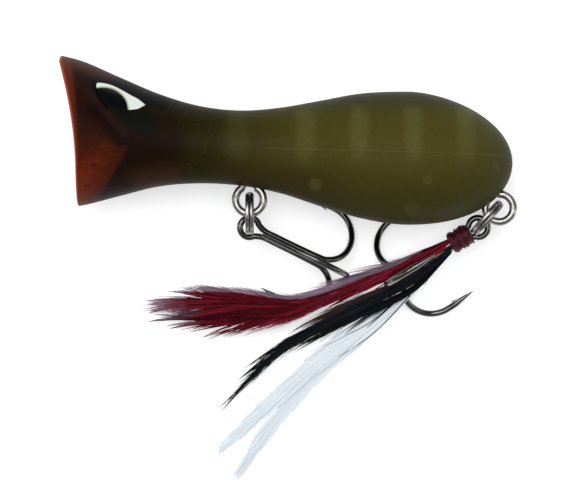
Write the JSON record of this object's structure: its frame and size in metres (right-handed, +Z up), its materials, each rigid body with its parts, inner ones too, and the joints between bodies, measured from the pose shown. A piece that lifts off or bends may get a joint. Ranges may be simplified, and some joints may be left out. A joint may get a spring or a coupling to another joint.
{
  "type": "topwater popper",
  "caption": "Hollow cup-mouthed surface fishing lure with split rings, treble hooks and a hackle-dressed tail treble, lying on its flank.",
  "frame": {"origin": "centre of the lure's footprint on the surface it lies on", "axes": "+X towards the tail, +Y towards the back of the fish, +Z up, out of the left flank; the lure lies on its right flank"},
  "size_m": [0.0656, 0.061, 0.0198],
  "materials": {
    "plastic_olive": "satin translucent moulded plastic, orange at the lip",
    "eye_enamel": "gloss white and black enamel",
    "wire_steel": "bright drawn stainless wire",
    "hook_nickel": "polished black nickel plate",
    "ballast_lead": "dull cast metal",
    "ball_steel": "polished bearing ball",
    "thread_crimson": "waxed tying thread",
    "hackle_red": "dyed cock hackle",
    "hackle_brown": "translucent brown hackle",
    "hackle_black": "dyed cock hackle",
    "flash_pearl": "pearl hackle and film"
  },
  "bodies": {
    "lure_body": {"body_shell_left": "plastic_olive", "body_shell_right": "plastic_olive", "eye_left": "eye_enamel", "eye_right": "eye_enamel", "line_tie_wire": "wire_steel", "belly_hanger_wire": "wire_steel", "tail_hanger_wire": "wire_steel", "ballast_weight": "ballast_lead"},
    "low_ball": {"rattle_ball_low": "ball_steel"},
    "high_ball": {"rattle_ball_high": "ball_steel"},
    "belly_ring": {"belly_split_ring": "wire_steel"},
    "belly_treble": {"belly_treble_double": "hook_nickel", "belly_treble_single": "hook_nickel"},
    "tail_ring": {"tail_split_ring": "wire_steel"},
    "tail_treble": {"tail_treble_double": "hook_nickel", "tail_treble_single": "hook_nickel", "thread_wrap": "thread_crimson", "red_hackle_upper": "hackle_red", "red_hackle_lower": "hackle_red", "brown_hackle": "hackle_brown", "black_hackle_long": "hackle_black", "black_hackle_short": "hackle_black", "pearl_flash_upper": "flash_pearl", "pearl_flash_lower": "flash_pearl"}
  },
  "joints": [
    {"name": "low_ball_roll", "type": "slide", "parent": "lure_body", "child": "low_ball", "axis": [1, 0, 0], "range_m": [-0.0008, 0.0008]},
    {"name": "high_ball_roll", "type": "slide", "parent": "lure_body", "child": "high_ball", "axis": [1, 0, 0], "range_m": [-0.0012, 0.0012]},
    {"name": "belly_ring_swing", "type": "hinge", "parent": "lure_body", "child": "belly_ring", "pos_m": [-0.00561, 0.00986, 0.0099], "axis": [0, 0, 1], "range_deg": [-12, 15]},
    {"name": "belly_treble_flap", "type": "hinge", "parent": "belly_ring", "child": "belly_treble", "pos_m": [-0.00561, 0.00795, 0.00822], "axis": [-1, 0, 0], "range_deg": [0, 40]},
    {"name": "tail_ring_swing", "type": "hinge", "parent": "lure_body", "child": "tail_ring", "pos_m": [0.03024, 0.0087, 0.0099], "axis": [0, 0, 1], "range_deg": [0, 75]},
    {"name": "tail_treble_flap", "type": "hinge", "parent": "tail_ring", "child": "tail_treble", "pos_m": [0.02856, 0.0073, 0.00839], "axis": [-0.7459, 0.666, 0], "range_deg": [0, 25], "deforming": ["red_hackle_upper", "red_hackle_lower", "brown_hackle", "black_hackle_long", "black_hackle_short", "pearl_flash_upper", "pearl_flash_lower"]}
  ]
}
